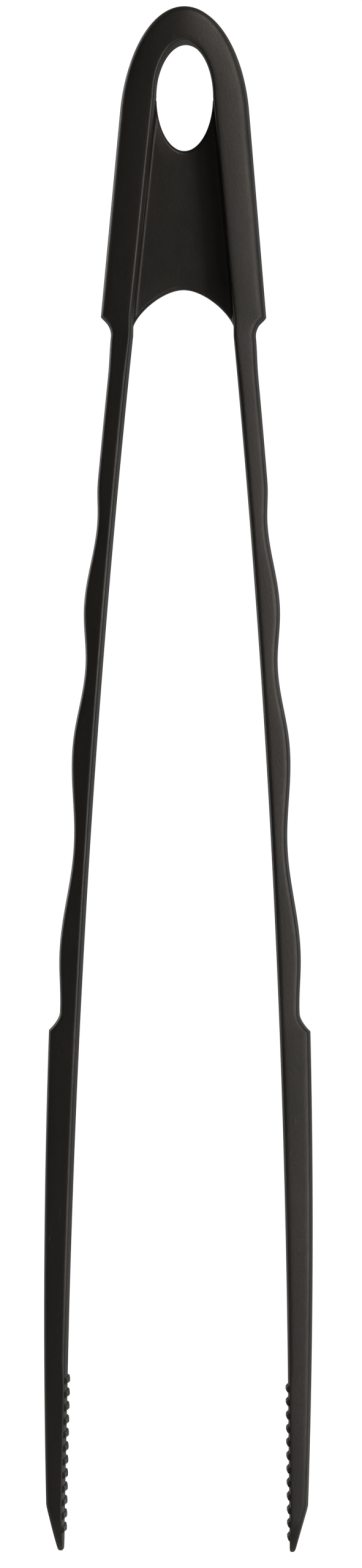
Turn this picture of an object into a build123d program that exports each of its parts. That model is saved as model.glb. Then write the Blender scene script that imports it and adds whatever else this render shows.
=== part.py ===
from build123d import *
import os
from math import asin, atan2, cos, degrees, hypot, radians, sin, tan

# Kitchen tongs moulded in one piece from springy nylon, hanging open by the eye in their head.
# Frame: origin at the centre of the hanging eye, +Z up, X across the two arms, Y through the depth.
# The moulding is divided where its work changes. The head and its web are stiff, the necks bend
# and are the spring, the hand squeezes the grips, and the blades with their teeth hold the food.

os.makedirs("parts", exist_ok=True)

# ---- Overall sizes, in millimetres and degrees ----
overall_length = 300.0
depth = 20.0  # head and arms, front to back
edge_round = 1.2  # long edges of the head, and the outer ones of the arms
inner_round = 0.6  # the arms' long inner edges

# ---- Head ----
eye_width = 11.0
eye_height = 20.8
crown_wall = 7.25  # above the eye
crown_fullness = 6.5  # how far the crown's curve stays level from the top
haunch_fullness = 11.0  # how far it keeps the side's direction below that
side_top_drop = 2.6  # from the eye's centre to the top of the straight side
side_lean = 5.05  # the straight outer side, from the vertical
collar_drop = 42.8  # from the eye's centre to the collar's corner
collar_half_width = 16.1
collar_leg_width = 6.4
collar_fillet = 3.7  # concave, into the neck
collar_slope = 45.0  # the collar's underside, where the fillet meets it

# ---- Web between the head's legs ----
web_thickness = 4.0
web_top_drop = 2.85  # from the eye's centre to the ledge on each side of the eye
web_arch_drop = 37.4  # from the eye's centre to the top of the lower arch
web_arch_height = 8.0
web_arch_crown = 4.2  # how far the arch stays level from its top
web_arch_haunch = 3.0  # how far it runs along the legs at its ends
web_arch_spread = 0.25  # its ends lie inside the legs, so the web has no feather edge

# ---- Arms ----
root_half_gap = 9.75  # inner faces at the top of the necks
root_lean = 5.7  # inner face at the top of the neck
jaw_lean = 0.9  # inner face along the teeth
jaw_margin = 0.5  # straight inner face above the left arm's highest ridge
root_thickness = 4.35
neck_thickness = 4.1
neck_level_from = 8.0  # below the top of the neck
neck_level_to = 28.0
# Finger grips: distance below the top of the neck, and thickness, at each valley and crest.
grip_waves = [
    (36.9, 3.45),
    (51.8, 4.65),
    (65.0, 3.4),
    (80.3, 4.75),
    (99.6, 3.2),
    (119.4, 4.75),
    (131.6, 4.05),
]
step_length = 4.4  # the step out from the last valley to the blade
blade_lean = 1.6  # outer face of the blade at its top
blade_top_thickness = 6.0
blade_end_thickness = 3.7
chisel_length = 8.7
tip_thickness = 1.1
tip_corner_radius = 6.5  # seen from the side

# ---- Teeth ----
tooth_count = 12
tooth_pitch = 2.62
tooth_width = 1.35
tooth_height = 0.55
tooth_flank = 70.0
tooth_crest_round = 0.15
tooth_end_margin = 1.4  # from a ridge's end to the blade's front or back
last_tooth_rise = 3.0  # from the tip up to the right arm's lowest ridge
closed_gap = 0.3  # between the two rows of crests when the arms are squeezed shut

# ---- Places worked out from the sizes ----
crown_top = eye_height / 2 + crown_wall
tip_z = crown_top - overall_length
collar_z = -collar_drop
side_top_x = collar_half_width - (collar_drop - side_top_drop) * tan(radians(side_lean))
collar_inner_x = collar_half_width - collar_leg_width
root_outer_x = root_half_gap + root_thickness
fillet_start_x = root_outer_x + collar_fillet * (1 - cos(radians(collar_slope)))
fillet_start_z = collar_z - (collar_half_width - fillet_start_x) * tan(radians(collar_slope))
root_z = fillet_start_z - collar_fillet * sin(radians(collar_slope))
neck_end_z = root_z - grip_waves[0][0]
grip_end_z = root_z - grip_waves[-1][0]
left_tooth_rise = last_tooth_rise + tooth_pitch / 2  # half a pitch up, so the two rows interlock
jaw_length = left_tooth_rise + (tooth_count - 1) * tooth_pitch + tooth_width / 2 + jaw_margin
jaw_top_z = tip_z + jaw_length
inner_radius = (root_z - jaw_top_z) / (sin(radians(root_lean)) - sin(radians(jaw_lean)))


def inner_x(z):
    """Half of the gap between the arms at height z: one long arc, then straight along the teeth."""
    if z < jaw_top_z:
        return inner_x(jaw_top_z) + (jaw_top_z - z) * tan(radians(jaw_lean))
    lean = asin(sin(radians(root_lean)) - (root_z - z) / inner_radius)
    return root_half_gap + inner_radius * (cos(lean) - cos(radians(root_lean)))


def outer_point(z, thickness):
    """Point of the right arm's outer edge at height z."""
    return (inner_x(z) + thickness, z)


def face_edges(shape):
    """Edges of the front and back faces, without the cut at the top of the neck."""
    flat = shape.edges().filter_by(lambda edge: abs(abs(edge.center().Y) - depth / 2) < 0.01)
    return flat.filter_by(lambda edge: abs(edge.center().Z - root_z) > 0.01)


def thickness_at(edge):
    """Distance of an edge's middle from the arm's inner face."""
    return edge.center().X - inner_x(edge.center().Z)


# ---- Head: the arched crown, its two legs and the collar ----
with BuildPart() as head:
    with BuildSketch(Plane.XZ):
        with BuildLine():
            crown = Bezier(
                (0, crown_top),
                (crown_fullness, crown_top),
                (side_top_x - haunch_fullness * tan(radians(side_lean)), haunch_fullness - side_top_drop),
                (side_top_x, -side_top_drop),
            )
            side = Line(crown @ 1, (collar_half_width, collar_z))
            under_collar = Line(side @ 1, (fillet_start_x, fillet_start_z))
            fillet_arc = TangentArc(under_collar @ 1, (root_outer_x, root_z), tangent=under_collar % 1)
            foot = Line(fillet_arc @ 1, (root_half_gap, root_z))
            throat = Line(foot @ 1, (collar_inner_x, collar_z))
            leg_wall = Line(throat @ 1, (eye_width / 2, 0))
            eye_roof = EllipticalCenterArc((0, 0), eye_width / 2, eye_height / 2, 0, arc_size=90)
            Line(eye_roof @ 1, crown @ 0)
        make_face()
        mirror(about=Plane.YZ)
    extrude(amount=depth / 2, both=True)
    fillet(face_edges(head.part), edge_round)
head.part.label = "head_arch"

# ---- Web: the recessed panel that ties the legs together below the eye ----
ledge_x = eye_width / 2 + (collar_inner_x - eye_width / 2) * web_top_drop / collar_drop
ledge_angle = degrees(asin(web_top_drop / (eye_height / 2)))
arch_end_z = -web_arch_drop - web_arch_height
throat_share = (collar_z - arch_end_z) / (collar_z - root_z)
throat_x = collar_inner_x + (root_half_gap - collar_inner_x) * throat_share
with BuildPart() as web:
    with BuildSketch(Plane.XZ):
        with BuildLine():
            eye_floor = EllipticalCenterArc(
                (0, 0), eye_width / 2, eye_height / 2, -90, arc_size=90 - ledge_angle
            )
            Polyline(
                eye_floor @ 1,
                (ledge_x, -web_top_drop),
                (collar_inner_x, collar_z),
                (throat_x, arch_end_z),
                (0, arch_end_z),
                eye_floor @ 0,
            )
        make_face()
        with BuildLine():
            arch_end_x = throat_x + web_arch_spread
            lower_arch = Bezier(
                (0, -web_arch_drop),
                (web_arch_crown, -web_arch_drop),
                (arch_end_x - web_arch_haunch * tan(radians(root_lean)), arch_end_z + web_arch_haunch),
                (arch_end_x, arch_end_z),
            )
            Polyline(lower_arch @ 1, (arch_end_x, root_z), (0, root_z), lower_arch @ 0)
        make_face(mode=Mode.SUBTRACT)
        mirror(about=Plane.YZ)
    extrude(amount=web_thickness / 2, both=True)
web.part.label = "head_web"

# ---- Right arm, whole: neck, finger grips and blade ----
step_end_z = grip_end_z - step_length
chisel_top_z = tip_z + chisel_length
with BuildPart() as arm:
    with BuildSketch(Plane.XZ):
        with BuildLine():
            bow_mid_z = (root_z + jaw_top_z) / 2
            bow = ThreePointArc(
                (root_half_gap, root_z), (inner_x(bow_mid_z), bow_mid_z), (inner_x(jaw_top_z), jaw_top_z)
            )
            land = Line(bow @ 1, (inner_x(tip_z), tip_z))
            toe = Line(land @ 1, outer_point(tip_z, tip_thickness))
            chisel = Line(toe @ 1, outer_point(chisel_top_z, blade_end_thickness))
            blade_top = Vector(*outer_point(step_end_z, blade_top_thickness))
            down_blade = Vector(sin(radians(blade_lean)), -cos(radians(blade_lean)))
            back = TangentArc(blade_top, chisel @ 1, tangent=down_blade)
            last_valley = Vector(*outer_point(grip_end_z, grip_waves[-1][1]))
            step_out = TangentArc(blade_top, (blade_top + last_valley) / 2, tangent=-down_blade)
            step_in = TangentArc(step_out @ 1, last_valley, tangent=step_out % 1)
            Spline(
                last_valley,
                *[outer_point(root_z - drop, thickness) for drop, thickness in grip_waves[-2::-1]],
                outer_point(root_z - neck_level_to, neck_thickness),
                outer_point(root_z - neck_level_from, neck_thickness),
                (root_outer_x, root_z),
                tangents=(step_in % 1, bow % 0 * -1),
            )
            Line((root_outer_x, root_z), bow @ 0)
        make_face()
    extrude(amount=depth / 2, both=True)
    above_chisel = face_edges(arm.part).filter_by(lambda edge: edge.center().Z > chisel_top_z)
    fillet(above_chisel.filter_by(lambda edge: thickness_at(edge) > neck_thickness / 2), edge_round)
    fillet(face_edges(arm.part).filter_by(lambda edge: thickness_at(edge) < 0.5), inner_round)
    with BuildSketch(Plane.YZ):
        with Locations((0, tip_z)):
            Rectangle(depth, tip_corner_radius, align=(Align.CENTER, Align.MIN))
            RectangleRounded(
                depth,
                tip_corner_radius * 3,
                tip_corner_radius,
                align=(Align.CENTER, Align.MIN),
                mode=Mode.SUBTRACT,
            )
    extrude(amount=inner_x(tip_z) + blade_top_thickness, mode=Mode.SUBTRACT)

# ---- Teeth: ridges across the inner face, a node of separate ridges for each arm ----
land_lean = radians(jaw_lean)
land_plane = Plane(
    origin=(inner_x(tip_z), 0, tip_z), x_dir=(-sin(land_lean), 0, cos(land_lean)), z_dir=(0, -1, 0)
)


def ridge_row(lowest_rise):
    """Ridges up the right arm's inner face, the lowest one at this distance above the tip."""
    with BuildPart() as row:
        with BuildSketch(land_plane):
            with Locations([(lowest_rise + index * tooth_pitch, 0) for index in range(tooth_count)]):
                Trapezoid(tooth_width, tooth_height, tooth_flank, align=(Align.CENTER, Align.MIN))
        extrude(amount=depth / 2 - tooth_end_margin, both=True)
        crests = row.edges().filter_by(Axis.Y).filter_by(
            lambda edge: land_plane.to_local_coords(edge.center()).Y > tooth_height - 0.01
        )
        fillet(crests, tooth_crest_round)
    return row.part


right_teeth = ridge_row(last_tooth_rise)
left_teeth = mirror(ridge_row(left_tooth_rise), about=Plane.YZ)

# ---- The left arm is the right one's mirror image, and each is divided into its zones ----
right_arm = arm.part
left_arm = mirror(right_arm, about=Plane.YZ)
zones = {"neck": (root_z, neck_end_z), "grip": (neck_end_z, grip_end_z), "blade": (grip_end_z, tip_z)}
pieces = {"head_arch": head.part, "head_web": web.part, "right_teeth": right_teeth, "left_teeth": left_teeth}
for side_name, whole_arm in (("right", right_arm), ("left", left_arm)):
    for zone_name, (zone_top, zone_bottom) in zones.items():
        with BuildPart() as zone:
            add(whole_arm)
            split(bisect_by=Plane.XY.offset(zone_top), keep=Keep.BOTTOM)
            split(bisect_by=Plane.XY.offset(zone_bottom), keep=Keep.TOP)
        pieces[f"{side_name}_{zone_name}"] = zone.part

for name, piece in pieces.items():
    piece.label = name
    export_step(piece, f"parts/{name}.step")

# ---- The spring hinge: each arm turns about the middle of its neck until the crests almost meet ----
pivot_z = (root_z + neck_end_z) / 2
pivot_x = inner_x(pivot_z) + neck_thickness / 2


def closing_angle(lowest_rise):
    """Turn, in degrees, that brings an arm's lowest crest to half the closed gap from the middle."""
    crest = land_plane.from_local_coords(Vector(lowest_rise, tooth_height, 0))
    reach = hypot(crest.X - pivot_x, crest.Z - pivot_z)
    open_angle = atan2(crest.X - pivot_x, pivot_z - crest.Z)
    return degrees(open_angle - asin((closed_gap / 2 - pivot_x) / reach))


print(f"pivot x {pivot_x:.3f} z {pivot_z:.3f}")
print(f"closing angle right {closing_angle(last_tooth_rise):.3f} left {closing_angle(left_tooth_rise):.3f}")
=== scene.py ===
"""Looks for kitchen tongs moulded in one piece from black nylon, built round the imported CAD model."""

import math

import bmesh
import bpy
from bpy.props import FloatProperty, FloatVectorProperty, IntProperty, PointerProperty
from mathutils import Matrix, Vector


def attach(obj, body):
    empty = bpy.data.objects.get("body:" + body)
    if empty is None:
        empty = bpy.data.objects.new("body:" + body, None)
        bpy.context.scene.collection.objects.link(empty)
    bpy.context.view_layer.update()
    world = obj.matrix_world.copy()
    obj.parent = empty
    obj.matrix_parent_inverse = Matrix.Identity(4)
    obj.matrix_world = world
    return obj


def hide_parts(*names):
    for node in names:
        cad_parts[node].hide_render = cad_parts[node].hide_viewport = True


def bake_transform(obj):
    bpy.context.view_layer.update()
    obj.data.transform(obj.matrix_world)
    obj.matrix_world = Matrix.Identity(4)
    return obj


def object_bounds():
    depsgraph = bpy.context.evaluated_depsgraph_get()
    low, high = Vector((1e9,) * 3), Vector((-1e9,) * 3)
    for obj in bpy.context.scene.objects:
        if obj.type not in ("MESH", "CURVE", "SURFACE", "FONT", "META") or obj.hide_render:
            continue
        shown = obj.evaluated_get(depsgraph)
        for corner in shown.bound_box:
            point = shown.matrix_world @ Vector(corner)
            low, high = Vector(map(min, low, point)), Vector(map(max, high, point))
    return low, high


bl_info = {
    "name": "Moulded Kitchen Tongs",
    "version": (1, 0, 0),
    "blender": (4, 5, 0),
    "location": "3D View > Sidebar > Tongs",
    "description": "Builds one-piece nylon kitchen tongs with sprung arms and toothed jaws",
    "category": "Add Mesh",
}

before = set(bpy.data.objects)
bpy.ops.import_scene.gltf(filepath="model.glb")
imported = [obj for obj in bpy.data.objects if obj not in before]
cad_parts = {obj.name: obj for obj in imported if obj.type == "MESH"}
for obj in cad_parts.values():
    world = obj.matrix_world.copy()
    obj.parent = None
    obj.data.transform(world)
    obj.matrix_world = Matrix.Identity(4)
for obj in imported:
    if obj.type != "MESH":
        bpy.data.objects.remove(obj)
cad_low, cad_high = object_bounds()

MM = 0.001

# ---- Sizes shared with the CAD model, in millimetres and degrees ----
DEPTH = 20.0
CROWN_TOP = cad_high.z / MM
TIP_Z = cad_low.z / MM
EYE_WIDTH = 11.0
EYE_HEIGHT = 20.8
CROWN_FULLNESS = 6.5
HAUNCH_FULLNESS = 11.0
SIDE_TOP_Z = -2.6
SIDE_LEAN = math.radians(5.05)
COLLAR_Z = -42.8
COLLAR_X = 16.1
COLLAR_INNER_X = 9.7
COLLAR_FILLET = 3.7
COLLAR_SLOPE = math.radians(45)
WEB_ARCH_Z = -37.4
WEB_ARCH_END_Z = -45.4
WEB_ARCH_FULLNESS = 4.2
WEB_ARCH_HAUNCH = 3.0
WEB_ARCH_SPREAD = 0.25
ROOT_HALF_GAP = 9.75
ROOT_THICKNESS = 4.35
ROOT_LEAN = math.radians(5.7)
JAW_LEAN = math.radians(0.9)
NECK_THICKNESS = 4.1
GRIP_WAVES = (
    (36.9, 3.45),
    (51.8, 4.65),
    (65.0, 3.4),
    (80.3, 4.75),
    (99.6, 3.2),
    (119.4, 4.75),
    (131.6, 4.05),
)
STEP_LENGTH = 4.4
BLADE_LEAN = math.radians(1.6)
BLADE_TOP_THICKNESS = 6.0
BLADE_END_THICKNESS = 3.7
CHISEL_LENGTH = 8.7
TIP_THICKNESS = 1.1
TIP_CORNER_ROUND = 6.5
JAW_LENGTH = 34.305
LAST_TOOTH_RISE = 3.0
TOOTH_FLANK = math.radians(70.0)

# ---- Sizes that only the looks have, in millimetres ----
STEP_RUN = 3.4  # the hollow part of a blade's step, down to its corner
STEP_HOLLOW = 1.7  # power of the step's curve, which starts slowly and ends at the corner
COLLAR_CUT = 0.5  # the rounding of the collar's corner starts this far above it
COLLAR_UNDERCUT = 0.3  # and ends this far inwards and down from it
TIP_ROUND = 0.4  # the tip's last edge
WEB_TOP_Z = -0.6  # the eye meets the legs here without a step
WEB_BURIED = 0.5  # how far the web runs on inside each leg
TOOTH_END_MARGIN = 0.5  # from a ridge's end to the arm's face
TOOTH_ROOTED = 0.3  # how far a ridge runs on inside the blade
ROUND_SHARE = 0.47  # the most that an edge's radius may be of an arm's thickness
DRAFT_SHARE = 0.1  # the most that the draft may be of it
# Distances over which an edge's radius, or the crowning, changes from one zone's to the next's
HEAD_ROUND_RUN = 8.0
ARM_ROUND_RUN = 10.0
BLADE_ROUND_RUN = 12.0
JAW_ROUND_RUN = 6.0
CROWNING_RUN = 12.0

# ---- Places worked out from them ----
SIDE_TOP_X = COLLAR_X + (COLLAR_Z - SIDE_TOP_Z) * math.tan(SIDE_LEAN)
ROOT_OUTER_X = ROOT_HALF_GAP + ROOT_THICKNESS
FILLET_START_X = ROOT_OUTER_X + COLLAR_FILLET * (1 - math.cos(COLLAR_SLOPE))
FILLET_START_Z = COLLAR_Z - (COLLAR_X - FILLET_START_X) * math.tan(COLLAR_SLOPE)
ROOT_Z = FILLET_START_Z - COLLAR_FILLET * math.sin(COLLAR_SLOPE)
NECK_END_Z = ROOT_Z - GRIP_WAVES[0][0]
GRIP_END_Z = ROOT_Z - GRIP_WAVES[-1][0]
STEP_END_Z = GRIP_END_Z - STEP_LENGTH
CHISEL_TOP_Z = TIP_Z + CHISEL_LENGTH
JAW_TOP_Z = TIP_Z + JAW_LENGTH
INNER_RADIUS = (ROOT_Z - JAW_TOP_Z) / (math.sin(ROOT_LEAN) - math.sin(JAW_LEAN))
MIDDLE_Z = (CROWN_TOP + TIP_Z) / 2

ARM_STATIONS = [
    (ROOT_Z, ROOT_THICKNESS),
    (ROOT_Z - 8, NECK_THICKNESS),
    (ROOT_Z - 28, NECK_THICKNESS),
] + [(ROOT_Z - drop, thickness) for drop, thickness in GRIP_WAVES]

# ---- How finely the meshes are divided ----
CORNER_STEPS = 6
FACE_STEPS = 7
WALL_STEPS = 4
OUTLINE_STEPS = 200  # points on the crown's and the eye's curves before they are spaced evenly
CROWN_RINGS = 49
LEG_STEPS = 40
FILLET_STEPS = 12
WEB_COLUMNS = 72
HALVINGS = 40
ARM_STEP = 0.9  # millimetres from one section of an arm to the next, and at the step and the tip
ARM_FINE_STEP = 0.3

# ---- Finish and stage ----
EDGE_WEAR = 0.35  # share of the rubbed grey that the most worn edge takes
NYLON_IOR = 1.53
FRONT_GLOW = 0.035  # strength of the air's light, from in front of the tongs and from behind
BACK_GLOW = 0.25
AIR_BRIGHTNESS = 1.05  # what the camera sees of the air and of the floor's own light
FLOOR_BRIGHTNESS = 0.9
FLOOR_RADIUS = 12.0  # metres
FLOOR_GAP = 1.5  # millimetres between the tips and the floor
SOFT_BOXES = (  # name, width and height, place, height it aims at in metres, watts, tint
    ("key soft box", (0.16, 0.62), (0.40, -0.52, 0.0), MIDDLE_Z * MM, 1.6, "#fff5ec"),
    ("side soft box", (0.2, 0.45), (0.55, -0.2, -0.2), MIDDLE_Z * MM, 1.1, "#fffaf5"),
    ("back soft box", (0.25, 0.6), (-0.6, 0.4, 0.1), MIDDLE_Z * MM, 1.6, "#fffaf5"),
    ("crown soft box", (0.12, 0.12), (0.12, -0.26, 0.2), 0.01, 0.24, "#fff5ec"),
)
LENS = 300.0
SENSOR = 36.0
VIEW_HEIGHT = 304.3  # millimetres from the top to the bottom of the picture
VIEW_PLANE = 4.0  # that height is measured this far in front of the middle
VIEW_Z = -133.4
VIEW_AZIMUTH = math.radians(1.1)
VIEW_ROLL = math.radians(-0.31)


# ---- Curves ----
def eased(share):
    """Share from 0 to 1 with a slow start and a slow end."""
    share = min(1.0, max(0.0, share))
    return (1 - math.cos(math.pi * share)) / 2


def between(low, high, share):
    """Value that far from low to high."""
    return low + (high - low) * share


def bezier_point(corners, share):
    """Point of a cubic curve with four control points."""
    rest = 1 - share
    weights = (rest**3, 3 * rest**2 * share, 3 * rest * share**2, share**3)
    return tuple(sum(w * corner[i] for w, corner in zip(weights, corners)) for i in (0, 1))


def evenly(points, count):
    """The same line through count points, equally far apart along it."""
    travelled = [0.0]
    for here, there in zip(points, points[1:]):
        travelled.append(travelled[-1] + math.dist(here, there))
    spaced = []
    k = 0
    for index in range(count):
        wanted = travelled[-1] * index / (count - 1)
        while k < len(points) - 2 and travelled[k + 1] < wanted:
            k += 1
        share = (wanted - travelled[k]) / (travelled[k + 1] - travelled[k])
        spaced.append(tuple(between(a, b, share) for a, b in zip(points[k], points[k + 1])))
    return spaced


def last_inside(low, high, inside):
    """Value between low and high up to which inside(value) holds, by halving the range."""
    for _ in range(HALVINGS):
        middle = (low + high) / 2
        if inside(middle):
            low = middle
        else:
            high = middle
    return low


def leg_wall_x(z):
    """Inner face of the head's right leg at height z."""
    if z > COLLAR_Z:
        return between(EYE_WIDTH / 2, COLLAR_INNER_X, z / COLLAR_Z)
    return between(COLLAR_INNER_X, ROOT_HALF_GAP, (COLLAR_Z - z) / (COLLAR_Z - ROOT_Z))


def arm_inner_x(z):
    """Inner face of the right arm: one long arc, then straight along the teeth."""
    if z < JAW_TOP_Z:
        return arm_inner_x(JAW_TOP_Z) + (JAW_TOP_Z - z) * math.tan(JAW_LEAN)
    lean = math.asin(math.sin(ROOT_LEAN) - (ROOT_Z - z) / INNER_RADIUS)
    return ROOT_HALF_GAP + INNER_RADIUS * (math.cos(lean) - math.cos(ROOT_LEAN))


def blade_back_x(z):
    """Outer face of the right blade: an arc that leaves its top at the blade's lean."""
    top = Vector((arm_inner_x(STEP_END_Z) + BLADE_TOP_THICKNESS, STEP_END_Z))
    foot = Vector((arm_inner_x(CHISEL_TOP_Z) + BLADE_END_THICKNESS, CHISEL_TOP_Z))
    inwards = Vector((-math.cos(BLADE_LEAN), -math.sin(BLADE_LEAN)))
    run = foot - top
    radius = run.length_squared / (2 * run.dot(inwards))
    centre = top + inwards * radius
    return centre.x + math.sqrt(radius**2 - (z - centre.y) ** 2)


def arm_thickness(z):
    """Thickness of an arm at height z, seen from the front."""
    if z < CHISEL_TOP_Z:
        return between(TIP_THICKNESS, BLADE_END_THICKNESS, (z - TIP_Z) / CHISEL_LENGTH)
    if z < GRIP_END_Z - STEP_RUN:
        return blade_back_x(z) - arm_inner_x(z)
    if z < GRIP_END_Z:
        share = ((GRIP_END_Z - z) / STEP_RUN) ** STEP_HOLLOW
        return between(GRIP_WAVES[-1][1], BLADE_TOP_THICKNESS, share)
    for (upper_z, upper), (lower_z, lower) in zip(ARM_STATIONS, ARM_STATIONS[1:]):
        if z >= lower_z:
            return between(upper, lower, eased((upper_z - z) / (upper_z - lower_z)))
    return GRIP_WAVES[-1][1]


def arm_half_depth(z):
    """Half of an arm's depth at height z. The tip's corners are rounded, seen from the side."""
    rise = max(0.0, TIP_CORNER_ROUND - (z - TIP_Z))
    return DEPTH / 2 - TIP_CORNER_ROUND + math.sqrt(TIP_CORNER_ROUND**2 - rise**2)


# ---- Meshes ----
def section(width, half_depth, outer_round, inner_round, face_drop=0.0, face_lean=0.0, draft=0.0):
    """Closed rounded section: (across from the inner face, through the depth, nearness to an edge).

    Its front and back faces fall by face_drop at both edges, and lean down towards the outer one.
    Both walls draw in by the draft from the parting line to the faces, so the mould can open.
    """
    loop = []
    corners = (
        (width - outer_round, half_depth - outer_round, outer_round, 0),
        (inner_round, half_depth - inner_round, inner_round, 90),
        (inner_round, inner_round - half_depth, inner_round, 180),
        (width - outer_round, outer_round - half_depth, outer_round, 270),
    )
    for number, (across, through, radius, start) in enumerate(corners):
        for step in range(CORNER_STEPS + 1):
            angle = math.radians(start + 90 * step / CORNER_STEPS)
            near = math.sin(math.pi * step / CORNER_STEPS)
            loop.append((across + radius * math.cos(angle), through + radius * math.sin(angle), near))
        here = loop[-1]
        ahead, ahead_through, ahead_radius, ahead_start = corners[(number + 1) % 4]
        angle = math.radians(ahead_start)
        there = (
            ahead + ahead_radius * math.cos(angle),
            ahead_through + ahead_radius * math.sin(angle),
        )
        steps = FACE_STEPS if number % 2 == 0 else WALL_STEPS
        for step in range(1, steps):
            share = step / steps
            loop.append((between(here[0], there[0], share), between(here[1], there[1], share), 0.0))
    crowned = []
    for across, through, near in loop:
        fall = face_drop * (2 * across / width - 1) ** 2 + across * math.tan(face_lean)
        drawn = draft * abs(through) / half_depth * (1 - 2 * across / width)
        crowned.append((across + drawn, through * (1 - fall / half_depth), near))
    return crowned


def closed_loft(name, rings):
    """Mesh through closed rings of (x, y, z, edge nearness) in millimetres, closed at both ends."""
    count = len(rings[0])
    vertices = [Vector(point[:3]) * MM for ring in rings for point in ring]
    faces = []
    for start in range(0, len(vertices) - count, count):
        for k in range(count):
            ahead = (k + 1) % count
            faces.append((start + k, start + ahead, start + ahead + count, start + k + count))
    faces.append(tuple(range(count)))
    faces.append(tuple(range(len(vertices) - count, len(vertices))))
    mesh = bpy.data.meshes.new(name)
    mesh.from_pydata(vertices, [], faces)
    edge = mesh.attributes.new("edge", "FLOAT", "POINT")
    edge.data.foreach_set("value", [point[3] for ring in rings for point in ring])
    return mesh


def add_piece(name, mesh, material, crease_angle=45.0):
    """Object at the origin, faces outwards, smooth but for real creases."""
    shell = bmesh.new()
    shell.from_mesh(mesh)
    bmesh.ops.recalc_face_normals(shell, faces=shell.faces)
    shell.to_mesh(mesh)
    shell.free()
    mesh.shade_smooth()
    mesh.set_sharp_from_angle(angle=math.radians(crease_angle))
    mesh.materials.clear()
    mesh.materials.append(material)
    piece = bpy.data.objects.new(name, mesh)
    bpy.context.scene.collection.objects.link(piece)
    return piece


def outer_round_at(z, sizes):
    """Radius of the outer edges. It is largest on the head."""
    if z > ROOT_Z:
        share = eased((z - ROOT_Z) / HEAD_ROUND_RUN)
        return between(sizes.outer_round, sizes.head_round, share) / MM
    share = eased((STEP_END_Z + 1 - z) / BLADE_ROUND_RUN)
    return between(sizes.outer_round, sizes.blade_round, share) / MM


def inner_round_at(z, sizes):
    """Radius of the edges on an arm's inner face. It is crisper on the head and beside the ridges."""
    share = eased((ROOT_Z - z) / ARM_ROUND_RUN)
    along_arm = between(sizes.inner_round, sizes.arm_inner_round, share)
    ridges_top = TIP_Z + LAST_TOOTH_RISE + (sizes.tooth_count + 1) * sizes.tooth_pitch / MM
    return between(along_arm, sizes.jaw_round, eased((ridges_top - z) / JAW_ROUND_RUN)) / MM


def face_drop_at(z, sizes):
    """How far the front and back faces fall at their edges. The head is fuller than the arms."""
    share = eased((z - ROOT_Z) / CROWNING_RUN)
    return between(sizes.arm_crowning, sizes.head_crowning, share) / MM


def ring_between(inner, outer, half_depth, *shape):
    """Section of that shape laid from the inner point to the outer one, both (x, z)."""
    width = math.dist(inner, outer)
    along = ((outer[0] - inner[0]) / width, (outer[1] - inner[1]) / width)
    ring = []
    for across, through, near in section(width, half_depth, *shape):
        ring.append((inner[0] + along[0] * across, through, inner[1] + along[1] * across, near))
    return ring


# ---- Colours and nodes ----
def linear(hex_colour):
    """Linear RGB of an sRGB colour such as '#2b2a27'."""
    channels = (int(hex_colour[i : i + 2], 16) / 255 for i in (1, 3, 5))
    return tuple(c / 12.92 if c <= 0.04045 else ((c + 0.055) / 1.055) ** 2.4 for c in channels)


def add_node(tree, kind, inputs=None, **settings):
    """New node with its settings, and its inputs set to values or linked from sockets."""
    node = tree.nodes.new(kind)
    for key, value in settings.items():
        setattr(node, key, value)
    for key, value in (inputs or {}).items():
        socket = node.inputs[key]
        if isinstance(value, bpy.types.NodeSocket):
            tree.links.new(value, socket)
        else:
            socket.default_value = value
    return node


def opaque(colour):
    """Colour with full alpha."""
    return (*colour[:3], 1.0)


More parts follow.
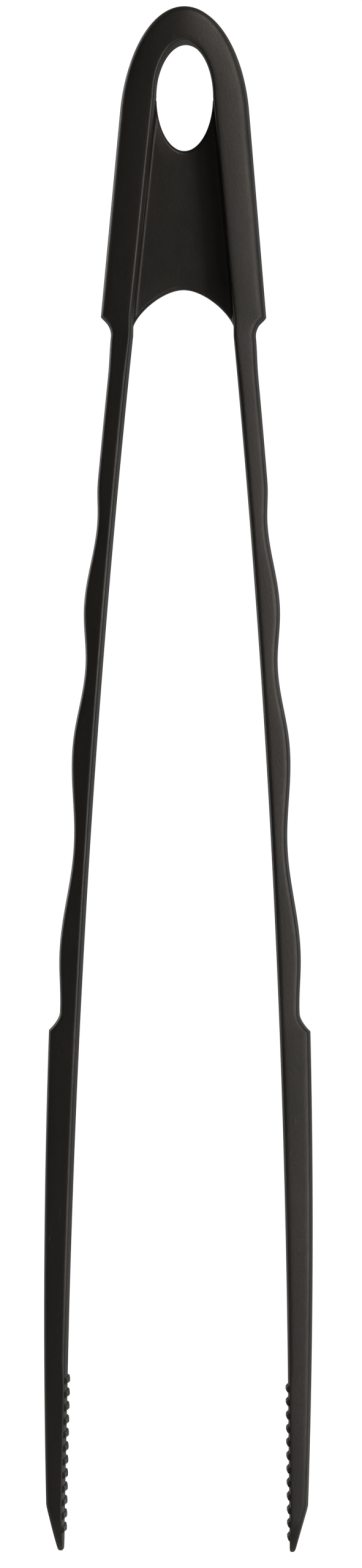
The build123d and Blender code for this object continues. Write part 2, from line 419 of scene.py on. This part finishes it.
def moulded_nylon(name, finish):
    """Glass-filled nylon 66, injection moulded black in a spark-eroded tool.

    The tool leaves an even fine grain and a satin sheen. The glass fibre shows as faint cloudy
    streaks along the flow, from the head down to the tips. Handling polishes the grips and rubs
    the long edges a little paler, and the blades carry fine scratches from food and pans.
    """
    material = bpy.data.materials.new(name)
    material.use_nodes = True
    tree = material.node_tree
    tree.nodes.clear()
    place = add_node(tree, "ShaderNodeTexCoord").outputs["Object"]
    height = add_node(tree, "ShaderNodeSeparateXYZ", {"Vector": place}).outputs["Z"]

    # Flow streaks, about 7 mm wide and four times as long.
    stretched = add_node(tree, "ShaderNodeMapping", {"Vector": place, "Scale": (1.0, 0.6, 0.25)})
    streaks = add_node(
        tree,
        "ShaderNodeTexNoise",
        {"Vector": stretched.outputs[0], "Scale": 1 / 0.007, "Detail": 4.0, "Roughness": 0.6},
    ).outputs["Fac"]
    # Small cloudy patches between the streaks, 2.5 mm across.
    patches = add_node(
        tree,
        "ShaderNodeTexNoise",
        {"Vector": place, "Scale": 1 / 0.0025, "Detail": 3.0, "Roughness": 0.55},
    ).outputs["Fac"]
    # The tool's grain is about 0.1 mm. It is drawn at 0.4 mm so that it shows.
    grain = add_node(
        tree,
        "ShaderNodeTexVoronoi",
        {"Vector": place, "Scale": 1 / 0.0004, "Randomness": 1.0},
        feature="SMOOTH_F1",
    ).outputs["Distance"]
    # Scratches 0.3 mm wide and some 9 mm long, broken up by the patches.
    combed = add_node(
        tree,
        "ShaderNodeMapping",
        {"Vector": place, "Rotation": (0.06, 0.11, 0.0), "Scale": (1.0, 1.0, 0.035)},
    )
    hairs = add_node(
        tree,
        "ShaderNodeTexNoise",
        {"Vector": combed.outputs[0], "Scale": 1 / 0.0003, "Detail": 1.0},
    ).outputs["Fac"]
    scratches = add_node(
        tree, "ShaderNodeMapRange", {"Value": hairs, "From Min": 0.66, "From Max": 0.74}
    ).outputs[0]
    scratch_field = add_node(
        tree, "ShaderNodeMapRange", {"Value": patches, "From Min": 0.5, "From Max": 0.68}
    ).outputs[0]
    blade_share = add_node(
        tree,
        "ShaderNodeMapRange",
        {"Value": height, "From Min": GRIP_END_Z * MM, "From Max": STEP_END_Z * MM, "To Min": 0.25},
    ).outputs[0]
    scratch = add_node(
        tree, "ShaderNodeMath", {0: scratches, 1: scratch_field}, operation="MULTIPLY"
    ).outputs[0]
    scratch = add_node(
        tree, "ShaderNodeMath", {0: scratch, 1: blade_share}, operation="MULTIPLY"
    ).outputs[0]
    # Rubbed edges, strongest on the rounded corners and patchy along them.
    edge = add_node(tree, "ShaderNodeAttribute", attribute_name="edge").outputs["Fac"]
    rub_field = add_node(
        tree, "ShaderNodeMapRange", {"Value": streaks, "From Min": 0.42, "From Max": 0.62}
    ).outputs[0]
    rub = add_node(
        tree, "ShaderNodeMath", {0: edge, 1: rub_field}, operation="MULTIPLY"
    ).outputs[0]
    wear = add_node(
        tree, "ShaderNodeMath", {0: rub, 1: EDGE_WEAR}, operation="MULTIPLY"
    ).outputs[0]

    cloudy = add_node(
        tree, "ShaderNodeMapRange", {"Value": streaks, "From Min": 0.3, "From Max": 0.7}
    ).outputs[0]
    colour = add_node(
        tree,
        "ShaderNodeMix",
        {"Factor": cloudy, "A": opaque(finish.nylon), "B": opaque(finish.fibre)},
        data_type="RGBA",
    ).outputs["Result"]
    speckled = add_node(
        tree,
        "ShaderNodeMix",
        {"Factor": patches, "A": colour, "B": opaque(finish.nylon)},
        data_type="RGBA",
    ).outputs["Result"]
    worn = add_node(
        tree,
        "ShaderNodeMix",
        {"Factor": wear, "A": speckled, "B": opaque(finish.rubbed)},
        data_type="RGBA",
    ).outputs["Result"]
    scuffed = add_node(
        tree,
        "ShaderNodeMix",
        {"Factor": scratch, "A": worn, "B": opaque(finish.rubbed)},
        data_type="RGBA",
    ).outputs["Result"]

    # Satin all over. Hands polish the grips and rub the edges, and the roughness falls there.
    satin = add_node(
        tree,
        "ShaderNodeMapRange",
        {"Value": patches, "From Min": 0.3, "From Max": 0.8, "To Min": 0.41, "To Max": 0.5},
    ).outputs[0]
    grip_low = add_node(
        tree,
        "ShaderNodeMapRange",
        {"Value": height, "From Min": (GRIP_END_Z - 4) * MM, "From Max": (GRIP_END_Z + 12) * MM},
        interpolation_type="SMOOTHSTEP",
    ).outputs[0]
    grip_high = add_node(
        tree,
        "ShaderNodeMapRange",
        {
            "Value": height,
            "From Min": (NECK_END_Z - 4) * MM,
            "From Max": (NECK_END_Z + 12) * MM,
            "To Min": 1.0,
            "To Max": 0.0,
        },
        interpolation_type="SMOOTHSTEP",
    ).outputs[0]
    handled = add_node(
        tree, "ShaderNodeMath", {0: grip_low, 1: grip_high}, operation="MULTIPLY"
    ).outputs[0]
    polish = add_node(
        tree, "ShaderNodeMath", {0: handled, 1: -0.05, 2: satin}, operation="MULTIPLY_ADD"
    ).outputs[0]
    roughness = add_node(
        tree, "ShaderNodeMath", {0: rub, 1: -0.08, 2: polish}, operation="MULTIPLY_ADD"
    ).outputs[0]

    relief = add_node(
        tree,
        "ShaderNodeBump",
        {"Height": grain, "Strength": finish.grain_strength, "Distance": 0.00006},
    ).outputs[0]
    relief = add_node(
        tree,
        "ShaderNodeBump",
        {"Height": scratch, "Strength": 0.5, "Distance": 0.00004, "Normal": relief},
        invert=True,
    ).outputs[0]
    shader = add_node(
        tree,
        "ShaderNodeBsdfPrincipled",
        {"Base Color": scuffed, "Roughness": roughness, "IOR": NYLON_IOR, "Normal": relief},
    )
    add_node(tree, "ShaderNodeOutputMaterial", {"Surface": shader.outputs[0]})
    return material


def shared_nylon():
    """The moulding's one material, made on first use."""
    name = "moulded black nylon"
    return bpy.data.materials.get(name) or moulded_nylon(name, bpy.context.scene.tongs_finish)


# ---- What a user may change ----
class TongsSizes(bpy.types.PropertyGroup):
    """Roundings and ribs that the looks add to the CAD sizes."""

    head_round: FloatProperty(
        name="Head edge round",
        description="Radius of the head's outer edges",
        default=1.1 * MM,
        min=0.2 * MM,
        unit="LENGTH",
        subtype="DISTANCE",
    )
    outer_round: FloatProperty(
        name="Outer edge round",
        description="Radius of the arms' long outer edges",
        default=0.75 * MM,
        min=0.2 * MM,
        unit="LENGTH",
        subtype="DISTANCE",
    )
    inner_round: FloatProperty(
        name="Inner edge round",
        description="Radius of the edges round the eye and down the inside of the head's legs",
        default=0.55 * MM,
        min=0.2 * MM,
        unit="LENGTH",
        subtype="DISTANCE",
    )
    arm_inner_round: FloatProperty(
        name="Arm inner edge round",
        description="Radius of the edges along the arms' inner faces, below the collar",
        default=0.85 * MM,
        min=0.2 * MM,
        unit="LENGTH",
        subtype="DISTANCE",
    )
    blade_round: FloatProperty(
        name="Blade edge round",
        description="Radius of the blades' outer edges",
        default=0.85 * MM,
        min=0.2 * MM,
        unit="LENGTH",
        subtype="DISTANCE",
    )
    head_crowning: FloatProperty(
        name="Head crowning",
        description="How far the head's faces fall from their middle to their edges",
        default=0.12 * MM,
        unit="LENGTH",
        subtype="DISTANCE",
    )
    arm_crowning: FloatProperty(
        name="Arm crowning",
        description="How far the arms' faces fall from their middle to their edges",
        default=0.04 * MM,
        unit="LENGTH",
        subtype="DISTANCE",
    )
    face_lean: FloatProperty(
        name="Face lean",
        description="How steeply the front and back faces fall away towards their outer edges",
        default=math.radians(9.0),
        unit="ROTATION",
        subtype="ANGLE",
    )
    draft: FloatProperty(
        name="Mould draft",
        description="How far the walls draw in from the parting line to the front and back faces",
        default=0.35 * MM,
        unit="LENGTH",
        subtype="DISTANCE",
    )
    web_thickness: FloatProperty(
        name="Web thickness",
        description="Thickness of the recessed panel between the head's legs",
        default=4.0 * MM,
        unit="LENGTH",
        subtype="DISTANCE",
    )
    web_fillet: FloatProperty(
        name="Web fillet",
        description="Concave radius where the web meets a leg",
        default=0.7 * MM,
        unit="LENGTH",
        subtype="DISTANCE",
    )
    web_edge_round: FloatProperty(
        name="Web edge round",
        description="Radius of the web's edges at the eye and at the lower arch",
        default=0.9 * MM,
        unit="LENGTH",
        subtype="DISTANCE",
    )
    jaw_round: FloatProperty(
        name="Jaw edge round",
        description="Radius of the edges along the jaws' inner faces, beside the ridges",
        default=0.4 * MM,
        min=0.2 * MM,
        unit="LENGTH",
        subtype="DISTANCE",
    )
    tooth_count: IntProperty(
        name="Teeth",
        description="Ridges across each jaw",
        default=12,
        min=1,
    )
    tooth_pitch: FloatProperty(
        name="Tooth pitch",
        description="Distance from one ridge to the next",
        default=2.62 * MM,
        unit="LENGTH",
        subtype="DISTANCE",
    )
    tooth_width: FloatProperty(
        name="Tooth width",
        description="Width of a ridge at its foot",
        default=1.35 * MM,
        unit="LENGTH",
        subtype="DISTANCE",
    )
    tooth_height: FloatProperty(
        name="Tooth height",
        description="How far a ridge stands out of the jaw",
        default=0.48 * MM,
        unit="LENGTH",
        subtype="DISTANCE",
    )
    crest_round: FloatProperty(
        name="Tooth crest round",
        description="Radius of a ridge's two upper edges",
        default=0.42 * MM,
        unit="LENGTH",
        subtype="DISTANCE",
    )


class TongsFinish(bpy.types.PropertyGroup):
    """Colours and grain of the nylon and the stage."""

    nylon: FloatVectorProperty(
        name="Nylon",
        description="Black of the moulding",
        default=linear("#171815"),
        size=3,
        min=0.0,
        max=1.0,
        subtype="COLOR",
    )
    fibre: FloatVectorProperty(
        name="Fibre streaks",
        description="Slightly paler black where glass fibre gathers at the surface",
        default=linear("#2d2925"),
        size=3,
        min=0.0,
        max=1.0,
        subtype="COLOR",
    )
    rubbed: FloatVectorProperty(
        name="Rubbed nylon",
        description="Grey of rubbed edges and scratches",
        default=linear("#4a4741"),
        size=3,
        min=0.0,
        max=1.0,
        subtype="COLOR",
    )
    grain_strength: FloatProperty(
        name="Grain",
        description="Strength of the moulded grain",
        default=0.2,
        min=0.0,
        max=1.0,
        subtype="FACTOR",
    )
    floor: FloatVectorProperty(
        name="Floor",
        description="Pale matt floor",
        default=linear("#f4f3f0"),
        size=3,
        min=0.0,
        max=1.0,
        subtype="COLOR",
    )


# ---- Pieces ----
def head_half_line():
    """(inner, outer) point pairs down the head's right half, from the crown to the root of the arm."""
    crown_corners = (
        (0.0, CROWN_TOP),
        (CROWN_FULLNESS, CROWN_TOP),
        (SIDE_TOP_X - HAUNCH_FULLNESS * math.tan(SIDE_LEAN), SIDE_TOP_Z + HAUNCH_FULLNESS),
        (SIDE_TOP_X, SIDE_TOP_Z),
    )
    shares = [k / OUTLINE_STEPS for k in range(OUTLINE_STEPS + 1)]
    outer = evenly([bezier_point(crown_corners, share) for share in shares], CROWN_RINGS)
    roof = []
    for share in shares:
        angle = math.pi / 2 * (1 - share)
        roof.append((EYE_WIDTH / 2 * math.cos(angle), EYE_HEIGHT / 2 * math.sin(angle)))
    roof.append((leg_wall_x(SIDE_TOP_Z), SIDE_TOP_Z))
    pairs = list(zip(evenly(roof, CROWN_RINGS), outer))

    side = []
    for k in range(1, LEG_STEPS + 1):
        z = between(SIDE_TOP_Z, COLLAR_Z + COLLAR_CUT, k / LEG_STEPS)
        side.append((COLLAR_X + (COLLAR_Z - z) * math.tan(SIDE_LEAN), z))
    under_start = (COLLAR_X - COLLAR_UNDERCUT, COLLAR_Z - COLLAR_UNDERCUT)
    corner = (side[-1], (COLLAR_X, COLLAR_Z), (COLLAR_X, COLLAR_Z), under_start)
    side += [bezier_point(corner, k / CORNER_STEPS) for k in range(1, CORNER_STEPS + 1)]
    side += evenly([under_start, (FILLET_START_X, FILLET_START_Z)], 4)[1:]
    for k in range(1, FILLET_STEPS + 1):
        angle = COLLAR_SLOPE * (1 - k / FILLET_STEPS)
        x = ROOT_OUTER_X + COLLAR_FILLET * (1 - math.cos(angle))
        side.append((x, ROOT_Z + COLLAR_FILLET * math.sin(angle)))
    return pairs + [((leg_wall_x(z), z), (x, z)) for x, z in side]


class TONGS_OT_head(bpy.types.Operator):
    """Build the head: the crown round the hanging eye, its two legs and the collar"""

    bl_idname = "tongs.head"
    bl_label = "Head"

    def execute(self, context):
        sizes = context.scene.tongs_sizes
        half = head_half_line()
        mirrored = [((-a[0], a[1]), (-b[0], b[1])) for a, b in half[:0:-1]]
        rings = []
        for inner, outer in mirrored + half:
            rings.append(
                ring_between(
                    inner,
                    outer,
                    DEPTH / 2,
                    outer_round_at(inner[1], sizes),
                    sizes.inner_round / MM,
                    face_drop_at(inner[1], sizes),
                    sizes.face_lean,
                    sizes.draft / MM,
                )
            )
        head = add_piece("head_moulding", closed_loft("head_moulding", rings), shared_nylon())
        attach(head, "head")
        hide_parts("head_arch")
        return {"FINISHED"}


def web_column(share, sizes):
    """Closed ring down the web and back up, that share of the way from the middle to a leg."""
    arch_end_x = leg_wall_x(WEB_ARCH_END_Z) + WEB_ARCH_SPREAD
    arch = (
        (0.0, WEB_ARCH_Z),
        (WEB_ARCH_FULLNESS, WEB_ARCH_Z),
        (arch_end_x - WEB_ARCH_HAUNCH * math.tan(ROOT_LEAN), WEB_ARCH_END_Z + WEB_ARCH_HAUNCH),
        (arch_end_x, WEB_ARCH_END_Z),
    )
    reach = abs(share)

    def column_x(z):
        return reach * (leg_wall_x(z) + WEB_BURIED)

    def over_arch(arch_share):
        x, z = bezier_point(arch, arch_share)
        return x < column_x(z)

    def under_eye(z):
        eye_x = EYE_WIDTH / 2 * math.sqrt(max(0.0, 1 - (2 * z / EYE_HEIGHT) ** 2))
        return eye_x < column_x(z)

    bottom = bezier_point(arch, last_inside(0.0, 1.0, over_arch))[1]
    top = last_inside(-EYE_HEIGHT / 2, WEB_TOP_Z, under_eye)

    fillet = sizes.web_fillet / MM
    half = sizes.web_thickness / MM / 2
    edge_round = sizes.web_edge_round / MM
    ring = []
    for down, through, near in section(top - bottom, half, edge_round, edge_round):
        z = bottom + down
        x = column_x(z)
        left = min(fillet, max(0.0, leg_wall_x(z) - x))
        flare = fillet - math.sqrt(fillet**2 - (fillet - left) ** 2)
        ring.append((math.copysign(x, share), through * (half + flare) / half, z, near))
    return ring


class TONGS_OT_web(bpy.types.Operator):
    """Build the recessed web that ties the head's legs together below the eye"""

    bl_idname = "tongs.web"
    bl_label = "Web"

    def execute(self, context):
        sizes = context.scene.tongs_sizes
        rings = []
        for k in range(WEB_COLUMNS + 1):
            share = math.sin(math.pi / 2 * (2 * k / WEB_COLUMNS - 1))
            rings.append(web_column(share, sizes))
        web = add_piece("web_moulding", closed_loft("web_moulding", rings), shared_nylon())
        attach(web, "head")
        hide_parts("head_web")
        return {"FINISHED"}


def arm_heights():
    """Heights of an arm's sections, closer together at the step and the tip."""
    heights = []
    z = ROOT_Z
    while z > TIP_Z + 0.5:
        heights.append(z)
        near_step = GRIP_END_Z + 2 > z > STEP_END_Z - 2
        near_tip = z < TIP_Z + TIP_CORNER_ROUND + 1
        z -= ARM_FINE_STEP if near_step or near_tip else ARM_STEP
    return heights


def arm_rings(side, sizes):
    """Sections of one arm, from its root to its rounded tip. Side is 1 on the right, -1 on the left."""
    rings = []
    heights = [(z, 0.0) for z in arm_heights()]
    for k in range(CORNER_STEPS + 1):
        angle = math.pi / 2 * k / CORNER_STEPS
        inset = TIP_ROUND * (1 - math.cos(angle))
        heights.append((TIP_Z + TIP_ROUND * (1 - math.sin(angle)), inset))
    for z, inset in heights:
        thickness = arm_thickness(z) - 2 * inset
        inner = (side * (arm_inner_x(z) + inset), z)
        outer = (side * (arm_inner_x(z) + inset + thickness), z)
        rings.append(
            ring_between(
                inner,
                outer,
                arm_half_depth(z) - inset,
                min(outer_round_at(z, sizes), ROUND_SHARE * thickness),
                min(inner_round_at(z, sizes), ROUND_SHARE * thickness),
                face_drop_at(z, sizes),
                sizes.face_lean,
                min(sizes.draft / MM, DRAFT_SHARE * thickness),
            )
        )
    return rings


class TONGS_OT_arms(bpy.types.Operator):
    """Build the two arms, each in one sweep through neck, finger grips, blade and chisel tip"""

    bl_idname = "tongs.arms"
    bl_label = "Arms"

    def execute(self, context):
        sizes = context.scene.tongs_sizes
        for name, side in (("left", -1), ("right", 1)):
            title = f"{name}_arm_moulding"
            arm = add_piece(title, closed_loft(title, arm_rings(side, sizes)), shared_nylon())
            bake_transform(arm)
            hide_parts(f"{name}_neck", f"{name}_grip", f"{name}_blade")
        return {"FINISHED"}


def ridge_row_tree():
    """Node tree that makes one jaw's ridges: a filleted profile, swept, then repeated up the jaw."""
    tree = bpy.data.node_groups.new("jaw ridges", "GeometryNodeTree")
    face = tree.interface
    face.new_socket("Geometry", in_out="INPUT", socket_type="NodeSocketGeometry")
    for name in (
        "Pitch",
        "Foot Width",
        "Crest Width",
        "Profile Height",
        "Crest Round",
        "Length",
        "Draft Slope",
    ):
        face.new_socket(name, in_out="INPUT", socket_type="NodeSocketFloat")
    face.new_socket("Count", in_out="INPUT", socket_type="NodeSocketInt")
    for name in ("Lowest Ridge", "Jaw Foot", "Jaw Turn"):
        face.new_socket(name, in_out="INPUT", socket_type="NodeSocketVector")
    face.new_socket("Material", in_out="INPUT", socket_type="NodeSocketMaterial")
    face.new_socket("Geometry", in_out="OUTPUT", socket_type="NodeSocketGeometry")
    given = add_node(tree, "NodeGroupInput").outputs

    profile = add_node(
        tree,
        "GeometryNodeCurvePrimitiveQuadrilateral",
        {
            "Bottom Width": given["Foot Width"],
            "Top Width": given["Crest Width"],
            "Height": given["Profile Height"],
            "Offset": 0.0,
        },
        mode="TRAPEZOID",
    ).outputs[0]
    rounded = add_node(
        tree,
        "GeometryNodeFilletCurve",
        {"Curve": profile, "Radius": given["Crest Round"], "Count": 5, "Limit Radius": True},
        mode="POLY",
    ).outputs[0]
    half = add_node(
        tree, "ShaderNodeMath", {0: given["Length"], 1: 0.5}, operation="MULTIPLY"
    ).outputs[0]
    back = add_node(tree, "ShaderNodeMath", {0: half, 1: -1.0}, operation="MULTIPLY").outputs[0]
    line = add_node(
        tree,
        "GeometryNodeCurvePrimitiveLine",
        {
            "Start": add_node(tree, "ShaderNodeCombineXYZ", {"Y": back}).outputs[0],
            "End": add_node(tree, "ShaderNodeCombineXYZ", {"Y": half}).outputs[0],
        },
    ).outputs[0]
    path = add_node(
        tree, "GeometryNodeResampleCurve", {"Curve": line, "Count": 9}, mode="COUNT"
    ).outputs[0]
    ridge = add_node(
        tree,
        "GeometryNodeCurveToMesh",
        {"Curve": path, "Profile Curve": rounded, "Fill Caps": True},
    ).outputs[0]
    # The swept crest points down: the nearer a point is to it, the more it is rubbed.
    position = add_node(tree, "GeometryNodeInputPosition").outputs[0]
    place = add_node(tree, "ShaderNodeSeparateXYZ", {"Vector": position}).outputs
    crest = add_node(
        tree, "ShaderNodeMath", {0: given["Profile Height"], 1: -0.5}, operation="MULTIPLY"
    ).outputs[0]
    nearness = add_node(
        tree, "ShaderNodeMapRange", {"Value": place["Z"], "From Min": 0.0, "From Max": crest}
    ).outputs[0]
    marked = add_node(
        tree,
        "GeometryNodeStoreNamedAttribute",
        {"Geometry": ridge, "Name": "edge", "Value": nearness},
        data_type="FLOAT",
        domain="POINT",
    ).outputs[0]
    # Each ridge sinks towards its ends with the draft of the wall that it stands on.
    off_middle = add_node(
        tree, "ShaderNodeMath", {0: place["Y"]}, operation="ABSOLUTE"
    ).outputs[0]
    sink = add_node(
        tree, "ShaderNodeMath", {0: off_middle, 1: given["Draft Slope"]}, operation="MULTIPLY"
    ).outputs[0]
    drafted = add_node(
        tree,
        "GeometryNodeSetPosition",
        {
            "Geometry": marked,
            "Offset": add_node(tree, "ShaderNodeCombineXYZ", {"Z": sink}).outputs[0],
        },
    ).outputs[0]
    step = add_node(tree, "ShaderNodeCombineXYZ", {"Z": given["Pitch"]}).outputs[0]
    places = add_node(
        tree,
        "GeometryNodeMeshLine",
        {"Count": given["Count"], "Start Location": given["Lowest Ridge"], "Offset": step},
    ).outputs[0]
    row = add_node(
        tree,
        "GeometryNodeInstanceOnPoints",
        {"Points": places, "Instance": drafted, "Rotation": (0.0, math.pi / 2, 0.0)},
    ).outputs[0]
    laid = add_node(
        tree,
        "GeometryNodeTransform",
        {"Geometry": row, "Translation": given["Jaw Foot"], "Rotation": given["Jaw Turn"]},
    ).outputs[0]
    real = add_node(tree, "GeometryNodeRealizeInstances", {"Geometry": laid}).outputs[0]
    finished = add_node(
        tree, "GeometryNodeSetMaterial", {"Geometry": real, "Material": given["Material"]}
    ).outputs[0]
    add_node(tree, "NodeGroupOutput", {"Geometry": finished})
    return tree


def ridge_row_mesh(name, tree, values):
    """Plain mesh that the node tree gives for these input values."""
    carrier = bpy.data.objects.new(name, bpy.data.meshes.new(name))
    bpy.context.scene.collection.objects.link(carrier)
    modifier = carrier.modifiers.new("ridges", "NODES")
    modifier.node_group = tree
    for socket in tree.interface.items_tree:
        if socket.in_out == "INPUT" and socket.name in values:
            modifier[socket.identifier] = values[socket.name]
    depsgraph = bpy.context.evaluated_depsgraph_get()
    mesh = bpy.data.meshes.new_from_object(carrier.evaluated_get(depsgraph))
    mesh.name = name
    bpy.data.objects.remove(carrier)
    return mesh


class TONGS_OT_teeth(bpy.types.Operator):
    """Build the ridges across each jaw; the left row sits half a pitch higher, so the two mesh"""

    bl_idname = "tongs.teeth"
    bl_label = "Teeth"

    def execute(self, context):
        sizes = context.scene.tongs_sizes
        tree = ridge_row_tree()
        rooted = TOOTH_ROOTED * MM
        flank = math.tan(TOOTH_FLANK)
        height = sizes.tooth_height
        jaw_foot_x = arm_inner_x(TIP_Z) * MM
        for name, side, turn, offset in (("left", -1, math.pi, 0.5), ("right", 1, 0.0, 0.0)):
            title = f"{name}_jaw_ridges"
            lowest = LAST_TOOTH_RISE * MM + offset * sizes.tooth_pitch
            values = {
                "Count": sizes.tooth_count,
                "Pitch": sizes.tooth_pitch,
                "Foot Width": sizes.tooth_width + 2 * rooted / flank,
                "Crest Width": sizes.tooth_width - 2 * height / flank,
                "Profile Height": height + rooted,
                "Crest Round": sizes.crest_round,
                "Length": (DEPTH - 2 * TOOTH_END_MARGIN) * MM,
                "Draft Slope": sizes.draft / (DEPTH / 2 * MM),
                "Lowest Ridge": ((rooted - height) / 2, 0.0, lowest),
                "Jaw Foot": (side * jaw_foot_x, 0.0, TIP_Z * MM),
                "Jaw Turn": (0.0, -JAW_LEAN, turn),
                "Material": shared_nylon(),
            }
            mesh = ridge_row_mesh(title, tree, values)
            if len(mesh.polygons) < sizes.tooth_count * 6:
                raise RuntimeError(f"{title} came out empty")
            ridges = add_piece(title, mesh, shared_nylon())
            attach(ridges, f"{name}_arm")
            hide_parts(f"{name}_teeth")
        bpy.data.node_groups.remove(tree)
        return {"FINISHED"}


# ---- Stage ----
def pale_floor_material(finish):
    """Matt white sweep board, lit until it is nearly as bright as the air behind it."""
    material = bpy.data.materials.new("matt white board")
    material.use_nodes = True
    tree = material.node_tree
    tree.nodes.clear()
    place = add_node(tree, "ShaderNodeTexCoord").outputs["Object"]
    fibres = add_node(
        tree, "ShaderNodeTexNoise", {"Vector": place, "Scale": 1 / 0.02, "Detail": 2.0}
    ).outputs["Fac"]
    roughness = add_node(
        tree, "ShaderNodeMapRange", {"Value": fibres, "To Min": 0.75, "To Max": 0.9}
    ).outputs[0]
    seen = add_node(tree, "ShaderNodeLightPath").outputs["Is Camera Ray"]
    glow = add_node(
        tree, "ShaderNodeMath", {0: seen, 1: FLOOR_BRIGHTNESS}, operation="MULTIPLY"
    ).outputs[0]
    shader = add_node(
        tree,
        "ShaderNodeBsdfPrincipled",
        {
            "Base Color": opaque(finish.floor),
            "Roughness": roughness,
            "Emission Color": (1.0, 1.0, 1.0, 1.0),
            "Emission Strength": glow,
        },
    )
    add_node(tree, "ShaderNodeOutputMaterial", {"Surface": shader.outputs[0]})
    return material


def soft_light(name, size, place, aim_height, power, tint):
    """Rectangular soft box, aimed at that height on the middle line. The camera doesn't see it."""
    lamp = bpy.data.lights.new(name, "AREA")
    lamp.shape = "RECTANGLE"
    lamp.size, lamp.size_y = size
    lamp.energy = power
    lamp.color = linear(tint)
    box = bpy.data.objects.new(name, lamp)
    box.location = place
    beam = Vector((0.0, 0.0, aim_height)) - Vector(place)
    box.rotation_euler = beam.to_track_quat("-Z", "Y").to_euler()
    box.visible_camera = False
    bpy.context.scene.collection.objects.link(box)


def studio_air():
    """White to look at. What it lights gets a bright glow from behind and a dim one from in front."""
    world = bpy.data.worlds.new("studio air")
    bpy.context.scene.world = world
    world.use_nodes = True
    tree = world.node_tree
    tree.nodes.clear()
    seen = add_node(tree, "ShaderNodeLightPath").outputs["Is Camera Ray"]
    direction = add_node(tree, "ShaderNodeTexCoord").outputs["Generated"]
    backwards = add_node(tree, "ShaderNodeSeparateXYZ", {"Vector": direction}).outputs["Y"]
    glow = add_node(
        tree,
        "ShaderNodeMapRange",
        {
            "Value": backwards,
            "From Min": -0.8,
            "From Max": 0.8,
            "To Min": FRONT_GLOW,
            "To Max": BACK_GLOW,
        },
        interpolation_type="SMOOTHSTEP",
    ).outputs[0]
    white = (1.0, 1.0, 1.0, 1.0)
    lit = add_node(tree, "ShaderNodeBackground", {"Color": white, "Strength": glow}).outputs[0]
    shown = add_node(
        tree, "ShaderNodeBackground", {"Color": white, "Strength": AIR_BRIGHTNESS}
    ).outputs[0]
    mixed = add_node(tree, "ShaderNodeMixShader", {0: seen, 1: lit, 2: shown}).outputs[0]
    add_node(tree, "ShaderNodeOutputWorld", {"Surface": mixed})


class TONGS_OT_stage(bpy.types.Operator):
    """Add the floor, the soft lights and the camera"""

    bl_idname = "tongs.stage"
    bl_label = "Stage"

    def execute(self, context):
        scene = context.scene
        board = bmesh.new()
        bmesh.ops.create_circle(board, cap_ends=True, segments=96, radius=FLOOR_RADIUS)
        board.transform(Matrix.Translation((0.0, 0.0, cad_low.z - FLOOR_GAP * MM)))
        mesh = bpy.data.meshes.new("floor")
        board.to_mesh(mesh)
        board.free()
        mesh.materials.append(pale_floor_material(scene.tongs_finish))
        floor = bpy.data.objects.new("floor", mesh)
        scene.collection.objects.link(floor)

        studio_air()
        for soft_box in SOFT_BOXES:
            soft_light(*soft_box)

        view = bpy.data.cameras.new("camera")
        view.lens = LENS
        view.sensor_width = SENSOR
        camera = bpy.data.objects.new("camera", view)
        distance = (VIEW_HEIGHT * LENS / SENSOR + VIEW_PLANE) * MM
        camera.location = (
            distance * math.sin(VIEW_AZIMUTH),
            -distance * math.cos(VIEW_AZIMUTH),
            VIEW_Z * MM,
        )
        camera.rotation_euler = (math.pi / 2, VIEW_ROLL, VIEW_AZIMUTH)
        scene.collection.objects.link(camera)
        scene.camera = camera
        scene.view_settings.view_transform = "Standard"
        return {"FINISHED"}


class TONGS_PT_panel(bpy.types.Panel):
    """Sizes, colours and build steps of the tongs"""

    bl_label = "Kitchen Tongs"
    bl_idname = "TONGS_PT_panel"
    bl_space_type = "VIEW_3D"
    bl_region_type = "UI"
    bl_category = "Tongs"

    def draw(self, context):
        layout = self.layout
        for group in (context.scene.tongs_sizes, context.scene.tongs_finish):
            column = layout.column()
            for key in group.__annotations__:
                column.prop(group, key)
        for operator in OPERATORS:
            layout.operator(operator.bl_idname)


OPERATORS = (TONGS_OT_head, TONGS_OT_web, TONGS_OT_arms, TONGS_OT_teeth, TONGS_OT_stage)
CLASSES = (TongsSizes, TongsFinish, *OPERATORS, TONGS_PT_panel)


def register():
    for cls in CLASSES:
        bpy.utils.register_class(cls)
    bpy.types.Scene.tongs_sizes = PointerProperty(type=TongsSizes)
    bpy.types.Scene.tongs_finish = PointerProperty(type=TongsFinish)


def unregister():
    del bpy.types.Scene.tongs_finish
    del bpy.types.Scene.tongs_sizes
    for cls in reversed(CLASSES):
        bpy.utils.unregister_class(cls)


def main():
    register()
    bpy.ops.tongs.head()
    bpy.ops.tongs.web()
    bpy.ops.tongs.arms()
    bpy.ops.tongs.teeth()
    bpy.ops.tongs.stage()


if __name__ == "__main__":
    main()
